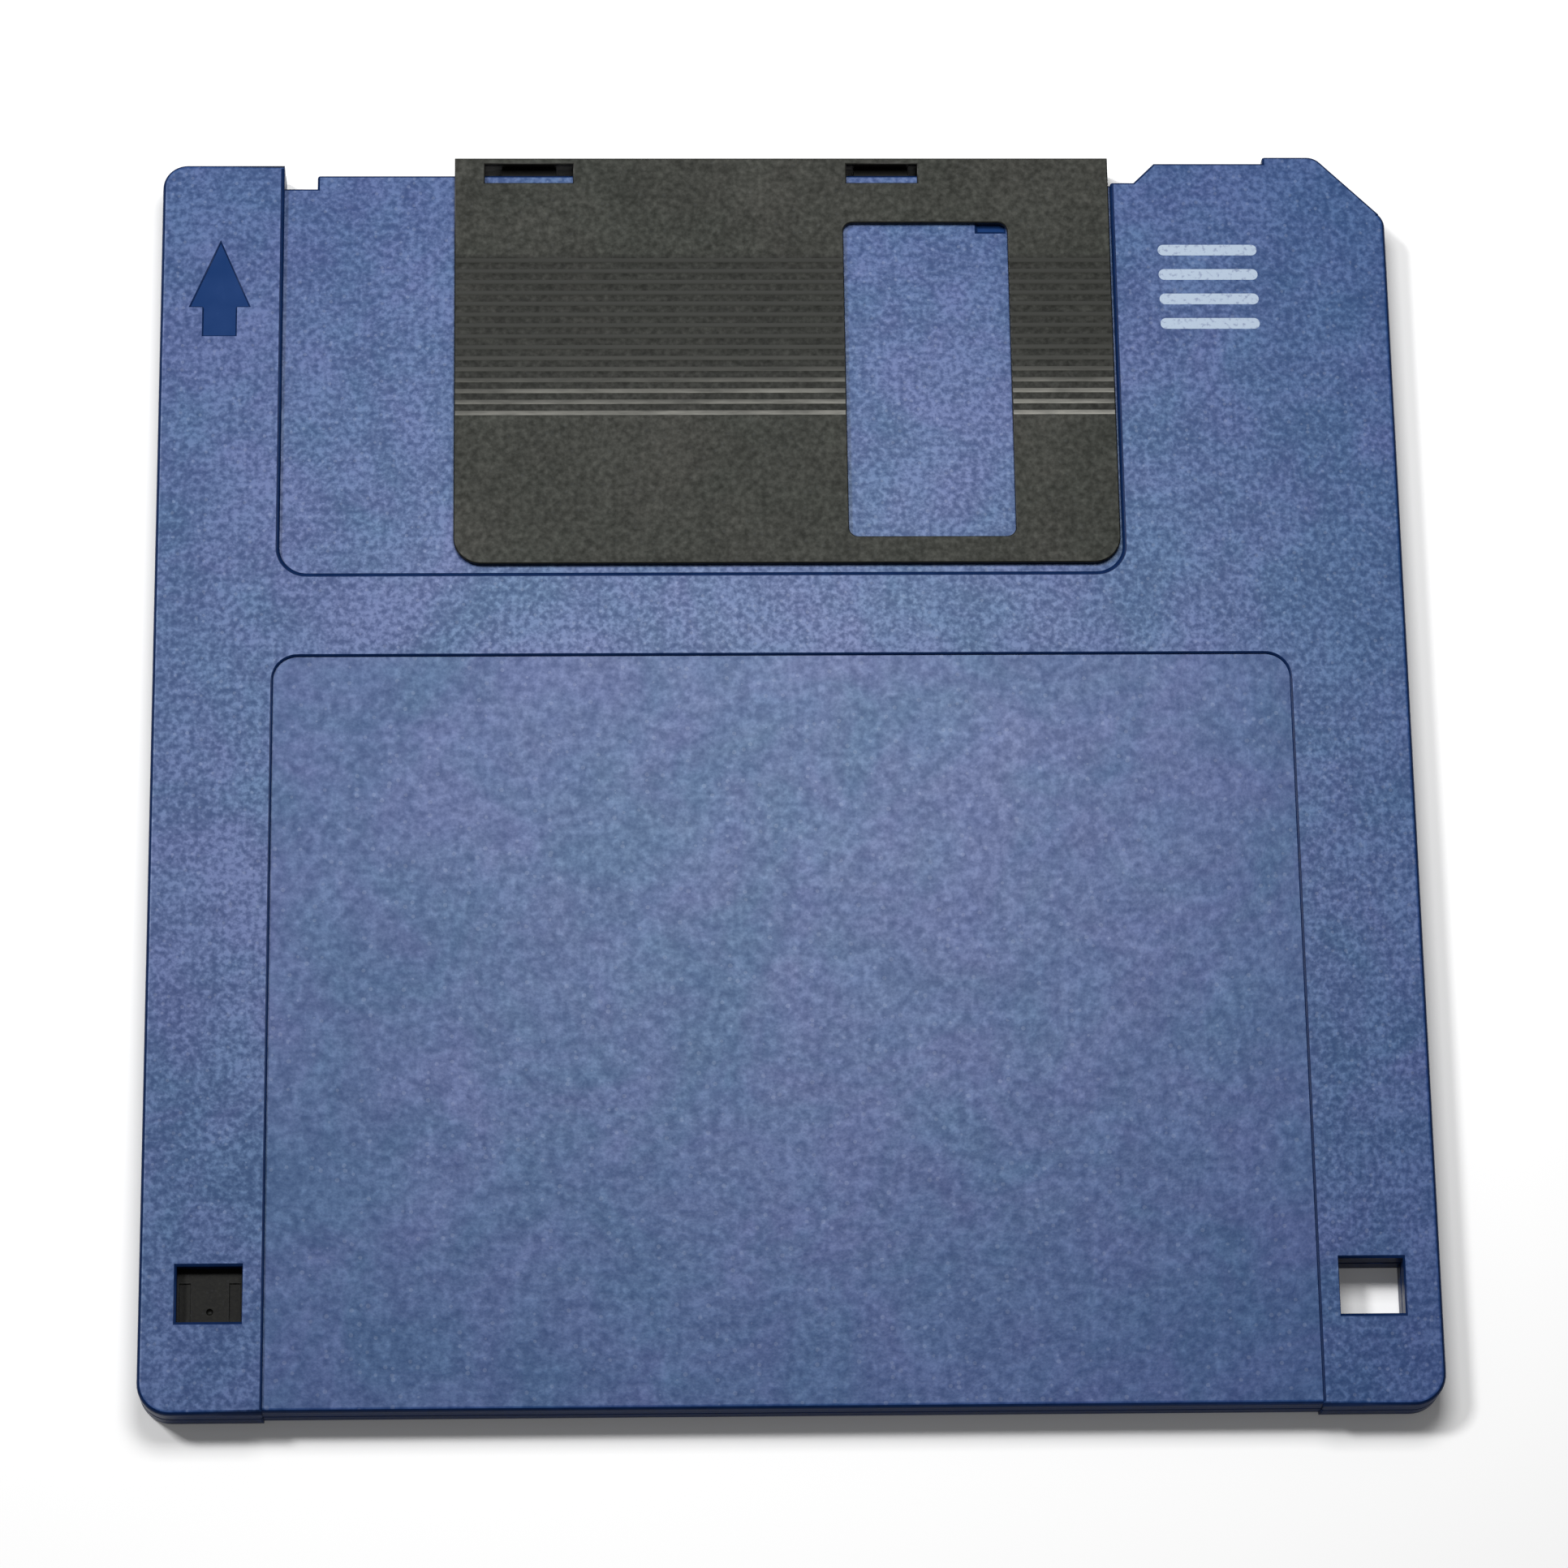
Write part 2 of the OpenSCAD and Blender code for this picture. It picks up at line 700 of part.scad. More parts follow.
// Outline of one leaf of the shutter
module leaf_outline() {
    difference() {
        round_rect([shutter_left, top - shutter_l],
            [shutter_right, top + shutter_corner_r], shutter_corner_r);
        translate([shutter_left - over, top])
            square([shutter_w + 2 * over, shutter_corner_r + over]);
        round_rect([window_x - window_w / 2, top - window_top_land - window_l],
            [window_x + window_w / 2, top - window_top_land], window_r);
        for (s = [[left_slot, left_slot_w], [right_slot, right_slot_w]])
            translate([s[0], top - slot_land - slot_l])
                square([s[1], slot_l]);
    }
}

// Sliding shutter, closed
module shutter() {
    low = recess_d - slide_gap - leaf_t;
    color(charcoal)
        difference() {
            union() {
                for (z = [low, case_t - low - leaf_t])
                    translate([0, 0, z])
                        linear_extrude(leaf_t)
                            leaf_outline();
                block([shutter_left, top - spine_t, low], [shutter_right, top, case_t - low]);
                for (x = [left_hook, right_hook]) {
                    block([x, head_y, parting - neck_t / 2],
                        [x + hook_w, top - spine_t + sink, parting + neck_t / 2]);
                    block([x, head_y, head_z], [x + hook_w, head_y + head_l, case_t - head_z]);
                }
            }
            // Rounded outer edges of the spine
            for (flip = [0, 1])
                translate([0, 0, flip * case_t])
                    mirror([0, 0, flip])
                        translate([shutter_left - over, top, low])
                            rotate([90, 0, 90])
                                linear_extrude(shutter_w + 2 * over)
                                    difference() {
                                        translate([-spine_r, -over])
                                            square([spine_r + over, spine_r + over]);
                                        translate([-spine_r, spine_r])
                                            circle(r = spine_r);
                                    }
            // Grip lines
            for (i = [0:grip_count - 1])
                translate([shutter_left - over, top - grip_start - i * grip_pitch, case_t - low])
                    rotate([90, 0, 90])
                        linear_extrude(shutter_w + 2 * over)
                            polygon([[-grip_w / 2, 0], [0, -grip_d], [grip_w / 2, 0], [0, over]]);
            // Hole for the end of the spring
            translate([left_hook - over, leg_y, parting])
                rotate([0, 90, 0])
                    cylinder(d = wire_d + 0.2, h = over + 0.9);
        }
}

// Torsion spring: a wire swept along its path as one closed skin
module shutter_spring() {
    n = len(spring_path);
    frames = [
        for (i = [0:n - 1])
            let (ahead = unit(spring_path[min(i + 1, n - 1)] - spring_path[max(i - 1, 0)]))
            let (across = unit(cross(ahead, [0, 0, 1])))
            [across, cross(across, ahead)]
    ];
    points = [
        for (i = [0:n - 1], k = [0:wire_sides - 1])
            let (a = 360 * k / wire_sides)
            spring_path[i] + wire_d / 2 * (cos(a) * frames[i][0] + sin(a) * frames[i][1])
    ];
    skin = [
        for (i = [0:n - 2], k = [0:wire_sides - 1])
            let (m = (k + 1) % wire_sides)
            [i * wire_sides + k, (i + 1) * wire_sides + k, (i + 1) * wire_sides + m, i * wire_sides + m]
    ];
    start_cap = [for (k = [0:wire_sides - 1]) k];
    end_cap = [for (k = [wire_sides - 1:-1:0]) (n - 1) * wire_sides + k];
    color(steel)
        polyhedron(points, concat(skin, [start_cap, end_cap]));
}

// Slider behind the left square hole, in the position that covers it
module write_protect_slider() {
    color(black_plastic)
        difference() {
            union() {
                block([-hole_x - base_w / 2, base_low, wall + slide_gap],
                    [-hole_x + base_w / 2, base_high, wall_top - slide_gap]);
                block([-hole_x - knob_w / 2, knob_low, knob_inset],
                    [-hole_x + knob_w / 2, knob_high, parting]);
            }
            // Notch for a pen tip
            block([-hole_x - knob_w / 2 + 0.5, knob_low + 0.7, -over],
                [-hole_x + knob_w / 2 - 0.5, knob_high - 0.7, knob_inset + knob_notch]);
            // Grooves that leave the raised pad on the label side, and a dimple in the pad
            for (x = [-side_hole_w / 2 + knob_edge, pad_w / 2])
                block([-hole_x + x, base_low - over, wall_top - slide_gap - pad_d],
                    [-hole_x + x + side_hole_w / 2 - knob_edge - pad_w / 2, hole_high - 1, case_t]);
            translate([-hole_x, hole_low + 0.9, wall_top - slide_gap - pad_d])
                cylinder(d = 0.5, h = over);
        }
}

// Coated disk
module magnetic_disk() {
    color(oxide)
        translate([0, hub_y, disk_z])
            difference() {
                cylinder(d = disk_d, h = disk_t);
                translate([0, 0, -over])
                    cylinder(d = hub_d + 0.4, h = 2 * over);
            }
}

// Stamped steel hub: a cup that faces the hub side, with a flange over the disk
module hub() {
    cup_h = flange_z + hub_t - hub_inset;
    color(steel)
        translate([0, hub_y, hub_inset])
            difference() {
                rotate_extrude()
                    difference() {
                        union() {
                            square([hub_d / 2, cup_h]);
                            translate([0, cup_h - hub_t])
                                square([flange_d / 2, hub_t]);
                        }
                        translate([-over, hub_t])
                            square([hub_d / 2 - hub_t + over, case_t]);
                        corner_tip([hub_d / 2, cup_h], [hub_d / 2, 0], [0, 0], hub_t);
                    }
                translate([-hub_square / 2, -hub_square / 2, -over])
                    cube([hub_square, hub_square, 2 * over]);
                translate([0, 0, -over])
                    linear_extrude(2 * over)
                        round_rect([drive_slot_x - drive_slot_w / 2, -drive_slot_l / 2],
                            [drive_slot_x + drive_slot_w / 2, drive_slot_l / 2], 0.8);
            }
}

// Adhesive ring between disk and flange
module hub_adhesive_ring() {
    color(film)
        translate([0, hub_y, ring_z])
            difference() {
                cylinder(d = flange_d - 0.3, h = ring_t);
                translate([0, 0, -over])
                    cylinder(d = hub_d + 0.4, h = 2 * over);
            }
}

// A liner that lies on its shell, with the cut for the heads
module liner(z) {
    cut = 0.5;
    color(fleece)
        difference() {
            translate([0, hub_y, z])
                cylinder(d = liner_d, h = liner_t);
            translate([0, hub_y, z - over])
                cylinder(d = liner_hole_d, h = liner_t + 2 * over);
            block([-head_w / 2 - cut, top - head_from_edge - head_open_l - cut, z - over],
                [head_w / 2 + cut, top, z + liner_t + over]);
        }
}

module front_liner() {
    liner(wall_top - liner_t);
}

module back_liner() {
    liner(wall);
}

// Film tab under the back liner, which presses it against the disk
module liner_lifter() {
    color(film)
        lifter_place(wall - lifter_t, lifter_t, 0);
}

// Low friction disc on the label-side wall, over the hub
module center_wear_disc() {
    color(white_plastic)
        translate([0, hub_y, wall_top - wear_t])
            cylinder(d = wear_d, h = wear_t);
}

front_shell();
back_shell();
shutter();
shutter_spring();
write_protect_slider();
magnetic_disk();
hub();
hub_adhesive_ring();
front_liner();
back_liner();
liner_lifter();
center_wear_disc();
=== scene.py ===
import math

import bmesh
import bpy
from mathutils import Euler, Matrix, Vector, noise


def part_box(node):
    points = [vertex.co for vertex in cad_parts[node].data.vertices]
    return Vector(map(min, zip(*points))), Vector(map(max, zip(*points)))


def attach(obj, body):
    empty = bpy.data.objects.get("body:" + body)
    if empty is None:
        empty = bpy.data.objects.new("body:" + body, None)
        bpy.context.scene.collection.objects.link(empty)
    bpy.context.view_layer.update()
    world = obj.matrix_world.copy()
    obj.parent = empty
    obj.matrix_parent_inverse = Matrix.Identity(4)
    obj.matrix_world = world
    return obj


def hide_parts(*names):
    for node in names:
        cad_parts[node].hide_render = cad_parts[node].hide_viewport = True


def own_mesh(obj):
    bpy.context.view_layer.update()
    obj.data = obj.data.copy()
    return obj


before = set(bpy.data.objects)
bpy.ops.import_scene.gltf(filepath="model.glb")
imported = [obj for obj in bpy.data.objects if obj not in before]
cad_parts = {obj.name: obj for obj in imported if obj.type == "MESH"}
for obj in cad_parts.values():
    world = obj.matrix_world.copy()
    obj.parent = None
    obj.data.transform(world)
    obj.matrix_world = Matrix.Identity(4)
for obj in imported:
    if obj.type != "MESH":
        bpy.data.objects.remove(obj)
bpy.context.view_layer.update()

# Camera, floor and light
# The cartridge lies label side up on a pale sheet, seen from above its label edge through a long lens.
# A wide soft lamp stands behind the shutter edge, and a weak one fills in from the front.
scene = bpy.context.scene
scene.view_settings.view_transform = "Standard"

camera = bpy.data.objects.new("camera", bpy.data.cameras.new("camera"))
camera.location = (-0.013788, -0.124384, 0.372702)
camera.rotation_euler = Euler((0.320677, -0.032175, -0.015052))
camera.data.sensor_width = 36
camera.data.lens = 125.79
scene.collection.objects.link(camera)
scene.camera = camera


def put(tree, kind, wires=None, **settings):
    """Adds a shader node, sets it up, and fills its inputs from values or from other sockets."""
    made = tree.nodes.new("ShaderNode" + kind)
    for name, value in settings.items():
        setattr(made, name, value)
    for name, value in (wires or {}).items():
        if isinstance(value, bpy.types.NodeSocket):
            tree.links.new(value, made.inputs[name])
        else:
            made.inputs[name].default_value = value
    return made


def new_finish(name):
    """A material with nothing but its output, and its node tree."""
    finish = bpy.data.materials.new(name)
    finish.use_nodes = True
    finish.node_tree.nodes.clear()
    return finish, finish.node_tree


def show(tree, wires):
    """Ends a material's tree in a Principled shader."""
    shader = put(tree, "BsdfPrincipled", wires)
    put(tree, "OutputMaterial", {"Surface": shader.outputs["BSDF"]})
    return shader


sky = bpy.data.worlds.new("pale room")
sky.use_nodes = True
sky.node_tree.nodes.clear()
seen = put(sky.node_tree, "LightPath").outputs["Is Camera Ray"]
glow = put(sky.node_tree, "MapRange", {"Value": seen, "To Min": 0.13, "To Max": 1.0})
room = put(sky.node_tree, "Background", {"Color": (1.0, 1.0, 1.0, 1.0), "Strength": glow.outputs[0]})
put(sky.node_tree, "OutputWorld", {"Surface": room.outputs[0]})
scene.world = sky

sheet_finish, tree = new_finish("pale_sheet")
show(tree, {"Base Color": (0.94, 0.94, 0.94, 1.0), "Roughness": 0.9, "Specular IOR Level": 0.1,
            "Emission Color": (1.0, 1.0, 1.0, 1.0), "Emission Strength": 0.06})
floor_mesh = bpy.data.meshes.new("floor")
bm = bmesh.new()
bmesh.ops.create_grid(bm, x_segments=1, y_segments=1, size=2.5)
bm.to_mesh(floor_mesh)
bm.free()
floor_mesh.materials.append(sheet_finish)
floor = bpy.data.objects.new("floor", floor_mesh)
scene.collection.objects.link(floor)


def hang_lamp(name, place, width, depth, power, target=(0, 0, 0)):
    """A soft rectangular lamp at a place, turned toward a target."""
    lamp = bpy.data.objects.new(name, bpy.data.lights.new(name, "AREA"))
    lamp.data.shape = "RECTANGLE"
    lamp.data.size = width
    lamp.data.size_y = depth
    lamp.data.energy = power
    lamp.location = place
    lamp.rotation_euler = (Vector(target) - Vector(place)).to_track_quat("-Z", "Y").to_euler()
    scene.collection.objects.link(lamp)


hang_lamp("window", (-0.34, 0.19, 0.5), 0.1, 0.1, 2.15)
hang_lamp("ceiling", (0.006, 0.062, 0.185), 0.1, 0.08, 0.285)

# Back shell
# The half of the case that faces the drive, injection moulded in blue ABS, welded to the front shell at five pins.
# Its flat faces are spark eroded to a fine grain; its walls and edges are smooth and carry painted shade.
MM = 0.001
hub_center = (0.0, 0.0005, 0.0)


def moulded_copy(node_name, piece_name, body, edge, inside=(0, 0), recess=None):
    """Copies a CAD node as one closed skin and rounds its outer edges as the mould does.
    Flat faces take the first material, walls and rounded edges the second.
    Edges whose height lies in the range called inside stay sharp.
    A recess is given as its left, right and low side, and the width that its upper edge takes instead,
    which is full along X and narrower along Y."""
    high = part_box(node_name)[1]
    widest = max(edge, recess[3]) if recess else edge
    bm = bmesh.new()
    bm.from_mesh(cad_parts[node_name].data)
    bmesh.ops.remove_doubles(bm, verts=bm.verts, dist=0.001 * MM)
    bmesh.ops.dissolve_limit(bm, angle_limit=math.radians(0.5), verts=bm.verts, edges=bm.edges)
    weight = bm.edges.layers.float.new("bevel_weight_edge")
    hard = [e for e in bm.edges if e.is_manifold and e.is_convex and e.calc_length() > 0.6 * edge
            and e.calc_face_angle(0) > math.radians(45)
            and not all(inside[0] < v.co.z < inside[1] for v in e.verts)]
    for e in hard:
        start = e.verts[0].co
        along = (e.verts[1].co - start).normalized()
        wide = recess and all(recess[0] < v.co.x < recess[1] and v.co.y > recess[2]
                              and v.co.z > high.z - 0.05 * MM for v in e.verts)
        room = recess[3] * (0.65 + 0.35 * abs(along.x)) if wide else edge
        for f in e.link_faces:
            reach = max((v.co - start).cross(along).length for v in f.verts)
            facing = [o for o in f.edges if o is not e and o.is_convex and o.calc_face_angle(0) > math.radians(45)
                      and abs((o.verts[1].co - o.verts[0].co).normalized().dot(along)) > 0.9]
            room = min(room, reach * (0.42 if facing else 0.8))
        e[weight] = room / widest
    for f in bm.faces:
        f.smooth = True
        f.material_index = 0 if abs(f.normal.z) > 0.9 else 1
    mesh = bpy.data.meshes.new(piece_name)
    bm.to_mesh(mesh)
    bm.free()
    mesh.set_sharp_from_angle(angle=math.radians(50))
    piece = bpy.data.objects.new(piece_name, mesh)
    scene.collection.objects.link(piece)
    rounding = piece.modifiers.new("mould radius", "BEVEL")
    rounding.limit_method = "WEIGHT"
    rounding.width = widest
    rounding.segments = 2
    rounding.use_clamp_overlap = False
    rounding.material = 1
    shading = piece.modifiers.new("even shading", "WEIGHTED_NORMAL")
    shading.keep_sharp = True
    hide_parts(node_name)
    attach(piece, body)
    return piece


def new_group(name, takes, gives):
    """A shader node group with named inputs and outputs."""
    group = bpy.data.node_groups.new(name, "ShaderNodeTree")
    for label, (kind, value) in takes.items():
        socket = group.interface.new_socket(label, in_out="INPUT", socket_type="NodeSocket" + kind)
        socket.default_value = value
    for label, kind in gives.items():
        group.interface.new_socket(label, in_out="OUTPUT", socket_type="NodeSocket" + kind)
    return group, group.nodes.new("NodeGroupInput")


def place_group(tree, group, wires):
    """Places a node group in a tree with its own values."""
    placed = put(tree, "Group", node_tree=group)
    for name, value in wires.items():
        if isinstance(value, bpy.types.NodeSocket):
            tree.links.new(value, placed.inputs[name])
        else:
            placed.inputs[name].default_value = value
    return placed


# Moulded grain: small pale and dark flecks, soft blotches that lean to violet or teal, and rare bright specks
grain, taken = new_group(
    "moulded_grain",
    {
        "Deep": ("Color", (0.05, 0.08, 0.2, 1.0)),
        "Pale": ("Color", (0.15, 0.2, 0.36, 1.0)),
        "Grains per metre": ("Float", 2000.0),
        "Contrast": ("Float", 1.0),
        "Specks": ("Float", 0.5),
        "Lean": ("Float", 0.0),
    },
    {"Color": "Color", "Roughness": "Float", "Glint": "Float", "Haze": "Color", "Height": "Float"},
)
spot = put(grain, "TexCoord").outputs["Object"]
flecks = put(grain, "TexNoise", {"Vector": spot, "Scale": taken.outputs["Grains per metre"],
                                 "Detail": 3.0, "Roughness": 0.6}).outputs["Fac"]
coarse = put(grain, "Math", {0: taken.outputs["Grains per metre"], 1: 0.2}, operation="MULTIPLY")
blotches = put(grain, "TexNoise", {"Vector": spot, "Scale": coarse.outputs[0], "Detail": 2.0})
cloud = put(grain, "TexNoise", {"Vector": spot, "Scale": 110.0, "Detail": 4.0, "Roughness": 0.65}).outputs["Fac"]
both = put(grain, "Math", {0: flecks, 1: 0.7}, operation="MULTIPLY").outputs[0]
both = put(grain, "Math", {0: blotches.outputs["Fac"], 1: 0.18, 2: both}, operation="MULTIPLY_ADD").outputs[0]
both = put(grain, "Math", {0: cloud, 1: 0.17, 2: both}, operation="MULTIPLY_ADD").outputs[0]
both = put(grain, "Math", {0: both, 1: 0.025}, operation="SUBTRACT").outputs[0]
swing = put(grain, "Math", {0: both, 1: 0.5}, operation="SUBTRACT").outputs[0]
swing = put(grain, "Math", {0: swing, 1: taken.outputs["Contrast"]}, operation="MULTIPLY").outputs[0]
shade = put(grain, "Math", {0: swing, 1: 2.4, 2: 0.56}, operation="MULTIPLY_ADD", use_clamp=True).outputs[0]
shade = put(grain, "Math", {0: shade, 1: 1.5}, operation="POWER").outputs[0]
tone = put(grain, "Mix", {0: shade, 6: taken.outputs["Deep"], 7: taken.outputs["Pale"]},
           data_type="RGBA").outputs[2]
lean = put(grain, "TexNoise", {"Vector": spot, "Scale": 110.0, "Detail": 3.0, "Roughness": 0.6,
                              "Distortion": 0.6}).outputs["Fac"]
lean = put(grain, "MapRange", {"Value": lean, "From Min": 0.36, "From Max": 0.64}).outputs[0]
leaning = put(grain, "Mix", {0: lean, 6: (0.84, 1.04, 0.98, 1.0), 7: (1.14, 0.96, 1.01, 1.0)},
              data_type="RGBA").outputs[2]
tone = put(grain, "Mix", {0: taken.outputs["Lean"], 6: tone, 7: leaning}, data_type="RGBA",
           blend_type="MULTIPLY").outputs[2]
haze = put(grain, "Mix", {0: lean, 6: (0.775, 0.915, 0.965, 1.0), 7: (0.85, 0.88, 0.985, 1.0)}, data_type="RGBA")
crystals = put(grain, "TexVoronoi", {"Vector": spot, "Scale": taken.outputs["Grains per metre"]})
near = put(grain, "Math", {0: crystals.outputs["Distance"], 1: 0.28}, operation="LESS_THAN").outputs[0]
picked = put(grain, "SeparateColor", {0: crystals.outputs["Color"]}).outputs[0]
picked = put(grain, "Math", {0: picked, 1: 0.78}, operation="GREATER_THAN").outputs[0]
bright = put(grain, "Math", {0: near, 1: picked}, operation="MULTIPLY").outputs[0]
bright = put(grain, "Math", {0: bright, 1: taken.outputs["Specks"]}, operation="MULTIPLY").outputs[0]
tone = put(grain, "Mix", {0: bright, 6: tone, 7: (0.45, 0.5, 0.62, 1.0)}, data_type="RGBA").outputs[2]
rough = put(grain, "MapRange", {"Value": blotches.outputs["Fac"], "From Min": 0.3, "From Max": 0.7,
                                "To Min": 0.42, "To Max": 0.47})
glint = put(grain, "MapRange", {"Value": shade, "To Min": 0.33, "To Max": 0.79})
given = grain.nodes.new("NodeGroupOutput")
grain.links.new(tone, given.inputs["Color"])
grain.links.new(rough.outputs[0], given.inputs["Roughness"])
grain.links.new(glint.outputs[0], given.inputs["Glint"])
grain.links.new(haze.outputs[2], given.inputs["Haze"])
grain.links.new(flecks, given.inputs["Height"])

case_plastic, tree = new_finish("case_plastic")
level = put(tree, "SeparateXYZ", {0: put(tree, "TexCoord").outputs["Object"]}).outputs["Z"]
on_label = put(tree, "Math", {0: level, 1: 3.1 * MM, 2: 0.05 * MM}, operation="COMPARE").outputs[0]
grains = put(tree, "MapRange", {"Value": on_label, "To Min": 2150.0, "To Max": 1750.0}).outputs[0]
contrast = put(tree, "MapRange", {"Value": on_label, "To Min": 1.85, "To Max": 1.1}).outputs[0]
skin = place_group(tree, grain, {"Deep": (0.010, 0.036, 0.135, 1.0), "Pale": (0.027, 0.071, 0.225, 1.0),
                                 "Grains per metre": grains, "Contrast": contrast, "Specks": 0.08, "Lean": 1.0})
relief = put(tree, "Bump", {"Height": skin.outputs["Height"], "Strength": 0.35, "Distance": 0.05 * MM})
show(tree, {"Base Color": skin.outputs["Color"], "Roughness": skin.outputs["Roughness"],
            "Normal": relief.outputs["Normal"], "Specular IOR Level": skin.outputs["Glint"],
            "Specular Tint": skin.outputs["Haze"]})

# Smooth walls and rounded edges, in a navy darker than the polished arrow. The smooth finish is real, but the extra
# darkness is painted shade, which makes the walls and the lines along the steps look shaded.
case_smooth_painted_shade, tree = new_finish("case_plastic_smooth_painted_shade")
spot = put(tree, "TexCoord").outputs["Object"]
streaks = put(tree, "TexNoise", {"Vector": spot, "Scale": 900.0, "Detail": 4.0, "Roughness": 0.6}).outputs["Fac"]
tone = put(tree, "Mix", {0: streaks, 6: (0.002, 0.009, 0.04, 1.0), 7: (0.006, 0.022, 0.085, 1.0)}, data_type="RGBA")
rough = put(tree, "MapRange", {"Value": streaks, "From Min": 0.3, "From Max": 0.7, "To Min": 0.26, "To Max": 0.36})
relief = put(tree, "Bump", {"Height": streaks, "Strength": 0.1, "Distance": 0.01 * MM})
show(tree, {"Base Color": tone.outputs[2], "Roughness": rough.outputs[0], "Normal": relief.outputs["Normal"],
            "Specular IOR Level": 0.05})

back_shell = moulded_copy("back_shell", "back_shell_moulded", "case", 0.14 * MM)
back_shell.data.materials.append(case_plastic)
back_shell.data.materials.append(case_smooth_painted_shade)

# Liner lifter
# A short tab of clear amber polyester film, stamped out and glued into its pocket in the back shell.
# It lifts the liner a little, so that the fleece wipes the turning disk.
film, tree = new_finish("amber_film")
spot = put(tree, "TexCoord").outputs["Object"]
haze = put(tree, "TexNoise", {"Vector": spot, "Scale": 500.0, "Detail": 3.0}).outputs["Fac"]
tone = put(tree, "Mix", {0: haze, 6: (0.5, 0.4, 0.2, 1.0), 7: (0.7, 0.6, 0.38, 1.0)}, data_type="RGBA")
rough = put(tree, "MapRange", {"Value": haze, "From Min": 0.3, "From Max": 0.7, "To Min": 0.12, "To Max": 0.25})
show(tree, {"Base Color": tone.outputs[2], "Roughness": rough.outputs[0], "Coat Weight": 0.3})


def refinish(node_name, finish):
    """Gives a CAD node that stays as it is a better material."""
    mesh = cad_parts[node_name].data
    mesh.materials.clear()
    mesh.materials.append(finish)


refinish("liner_lifter", film)

# Back liner
# A ring of soft nonwoven fleece, die cut with a notch for the heads and spot welded flat to the back shell.
# Its fibres are bonded in a close pattern of small dots.
fleece, tree = new_finish("liner_fleece")
spot = put(tree, "TexCoord").outputs["Object"]
fibres = put(tree, "TexNoise", {"Vector": spot, "Scale": 5200.0, "Detail": 4.0, "Roughness": 0.7,
                                "Distortion": 1.6}).outputs["Fac"]
dots = put(tree, "TexVoronoi", {"Vector": spot, "Scale": 1100.0, "Randomness": 0.12}).outputs["Distance"]
bond = put(tree, "MapRange", {"Value": dots, "From Min": 0.16, "From Max": 0.34}).outputs[0]
tone = put(tree, "Mix", {0: fibres, 6: (0.55, 0.54, 0.5, 1.0), 7: (0.88, 0.87, 0.84, 1.0)}, data_type="RGBA")
tone = put(tree, "Mix", {0: bond, 6: (0.6, 0.59, 0.56, 1.0), 7: tone.outputs[2]}, data_type="RGBA")
height = put(tree, "Math", {0: fibres, 1: bond}, operation="MULTIPLY")
relief = put(tree, "Bump", {"Height": height.outputs[0], "Strength": 0.6, "Distance": 0.08 * MM})
show(tree, {"Base Color": tone.outputs[2], "Roughness": 0.95, "Normal": relief.outputs["Normal"],
            "Sheen Weight": 0.3, "Sheen Roughness": 0.5})


def fleece_ring(node_name, piece_name):
    """A flat ring of fleece in the place of a liner's CAD solid, laid on its shell, with a faintly uneven nap."""
    low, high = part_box(node_name)
    outer = (high.x - low.x) / 2
    inner = 15.5 * MM
    notch_side = 5 * MM
    notch_low = 17.1 * MM
    thickness = (high.z - low.z) * 0.9
    bm = bmesh.new()
    across = [bm.verts.new((hub_center[0] + inner + (outer - inner) * i / 20, hub_center[1], low.z))
              for i in range(21)]
    line = [bm.edges.new(pair) for pair in zip(across, across[1:])]
    bmesh.ops.spin(bm, geom=across + line, cent=hub_center, axis=(0, 0, 1), angle=2 * math.pi, steps=150,
                   use_merge=True)
    bmesh.ops.remove_doubles(bm, verts=bm.verts, dist=0.001 * MM)
    cuts = [((-notch_side, 0, 0), (1, 0, 0)), ((notch_side, 0, 0), (1, 0, 0)), ((0, notch_low, 0), (0, 1, 0))]
    for point, facing in cuts:
        bmesh.ops.bisect_plane(bm, geom=bm.verts[:] + bm.edges[:] + bm.faces[:], plane_co=point, plane_no=facing,
                               dist=0.001 * MM)
    gone = [f for f in bm.faces if abs(f.calc_center_median().x) < notch_side
            and f.calc_center_median().y > notch_low]
    bmesh.ops.delete(bm, geom=gone, context="FACES")
    flat_area = sum(f.calc_area() for f in bm.faces)
    bmesh.ops.recalc_face_normals(bm, faces=bm.faces)
    bmesh.ops.solidify(bm, geom=bm.faces[:], thickness=thickness)
    middle = sum(v.co.z for v in bm.verts) / len(bm.verts)
    for v in bm.verts:
        nap = 0.04 * MM * noise.noise(v.co * 900)
        v.co.z += (low.z + high.z) / 2 - middle + nap * 0.25
    bmesh.ops.recalc_face_normals(bm, faces=bm.faces)
    for f in bm.faces:
        f.smooth = abs(f.normal.z) > 0.5
    mesh = bpy.data.meshes.new(piece_name)
    bm.to_mesh(mesh)
    bm.free()
    mesh.materials.append(fleece)
    piece = bpy.data.objects.new(piece_name, mesh)
    scene.collection.objects.link(piece)
    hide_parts(node_name)
    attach(piece, "case")


fleece_ring("back_liner", "back_liner_fleece")

